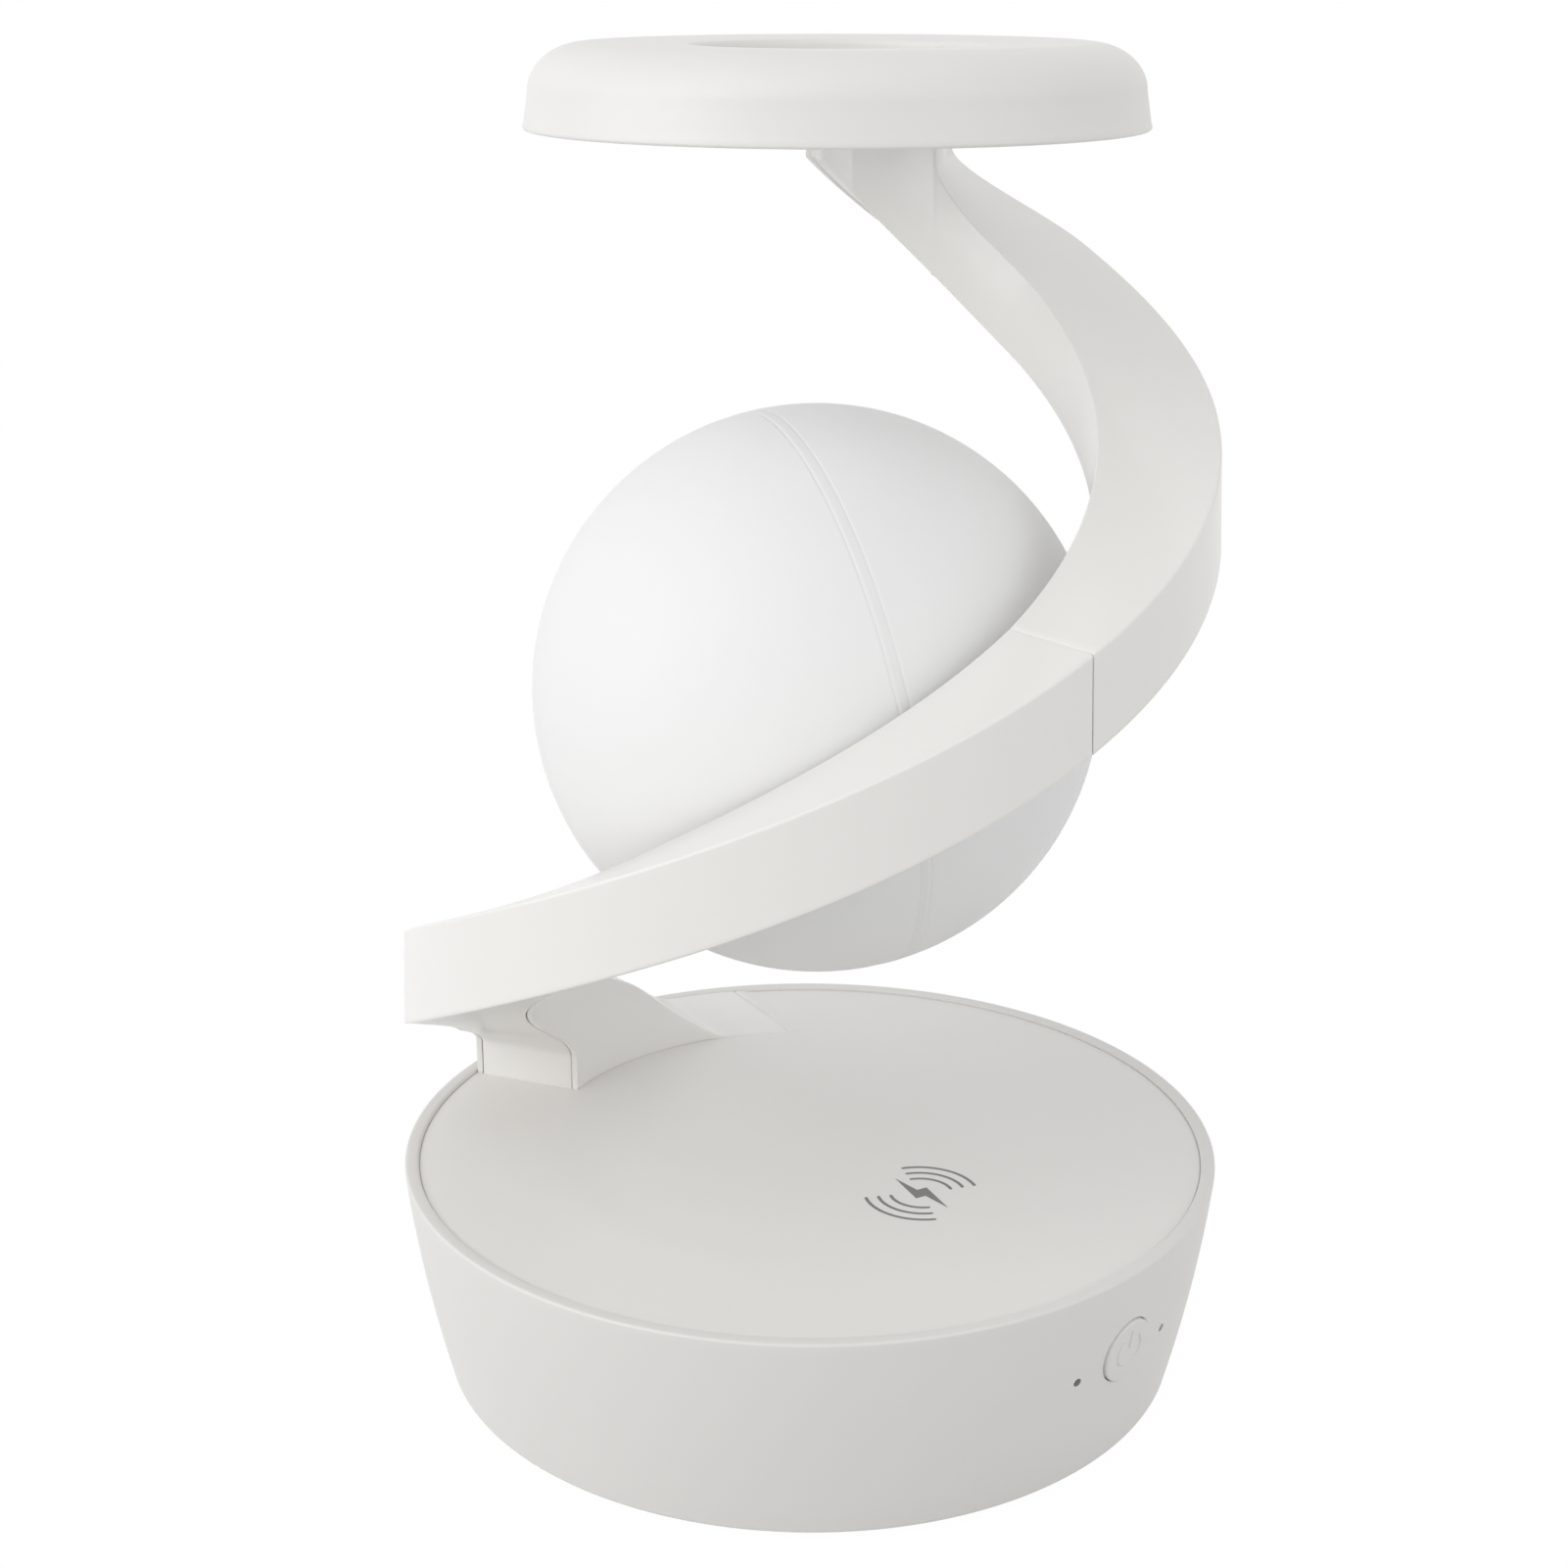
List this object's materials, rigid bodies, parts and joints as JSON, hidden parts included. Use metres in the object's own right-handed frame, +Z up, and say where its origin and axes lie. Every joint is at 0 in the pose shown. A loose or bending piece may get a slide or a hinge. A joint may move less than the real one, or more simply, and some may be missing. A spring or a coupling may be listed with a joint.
{
  "type": "spiral table lamp",
  "caption": "Desk lamp with a round charging base, a flat arm that spirals up round a milky globe, and a ring-shaped lamp head, with a press button on the base.",
  "frame": {"origin": "on the table, under the middle of the base", "axes": "+Z up; -Y towards the front, where the power button sits to the right; +X right as seen from the front"},
  "size_m": [0.1498, 0.1498, 0.2373],
  "materials": {
    "base_white": "satin moulded, fine grain",
    "cover_white": "satin moulded, fine grain",
    "foot_rubber": "matte",
    "steel": "plain, zinc plated",
    "mark_grey": "printed ink",
    "window_grey": "smoked clear plastic",
    "coil_copper": "enamelled copper wire",
    "spacer_brass": "turned",
    "ferrite_black": "matte",
    "board_green": "solder mask",
    "board_white": "white solder mask",
    "arm_white": "semi-gloss moulded",
    "strip_white": "semi-gloss moulded",
    "fitting_grey": "moulded",
    "lead_grey": "flexible insulation",
    "globe_milk": "milky light-spreading plastic, fine matte",
    "gasket_grey": "matte",
    "light_yellow": "phosphor under clear resin",
    "head_white": "satin moulded",
    "diffuser_milk": "milky light-spreading plastic"
  },
  "bodies": {
    "lamp": {"base_shell": "base_white", "bottom_plate": "base_white", "rubber_feet": "foot_rubber", "base_screws": "steel", "ballast_plate": "steel", "top_cover": "cover_white", "charge_mark": "mark_grey", "charging_coil": "coil_copper", "coil_shield": "ferrite_black", "main_board": "board_green", "power_socket": "steel", "tact_switch": "ferrite_black", "switch_board": "board_green", "indicator_windows": "window_grey", "foot_clamp": "steel", "foot_screws": "steel", "foot_spacers": "spacer_brass", "lower_arm": "arm_white", "lower_arm_strip": "strip_white", "upper_arm": "arm_white", "upper_arm_strip": "strip_white", "arm_tenon": "fitting_grey", "arm_lead_wire": "lead_grey", "globe_body": "globe_milk", "globe_cap": "globe_milk", "globe_pin": "fitting_grey", "globe_gasket": "gasket_grey", "globe_collar": "fitting_grey", "globe_nut": "fitting_grey", "globe_lamp_board": "board_white", "globe_lights": "light_yellow", "head_shell": "head_white", "head_diffuser": "diffuser_milk", "head_board": "board_white", "head_lights": "light_yellow", "head_bracket": "fitting_grey", "head_screws": "steel"},
    "button": {"power_button": "base_white"}
  },
  "joints": [
    {"name": "button_press", "type": "slide", "parent": "lamp", "child": "button", "axis": [-0.7349, 0.6593, 0.1589], "range_m": [0, 0.0006], "stiffness_N_per_m": 1000, "springref_m": -0.0006}
  ]
}
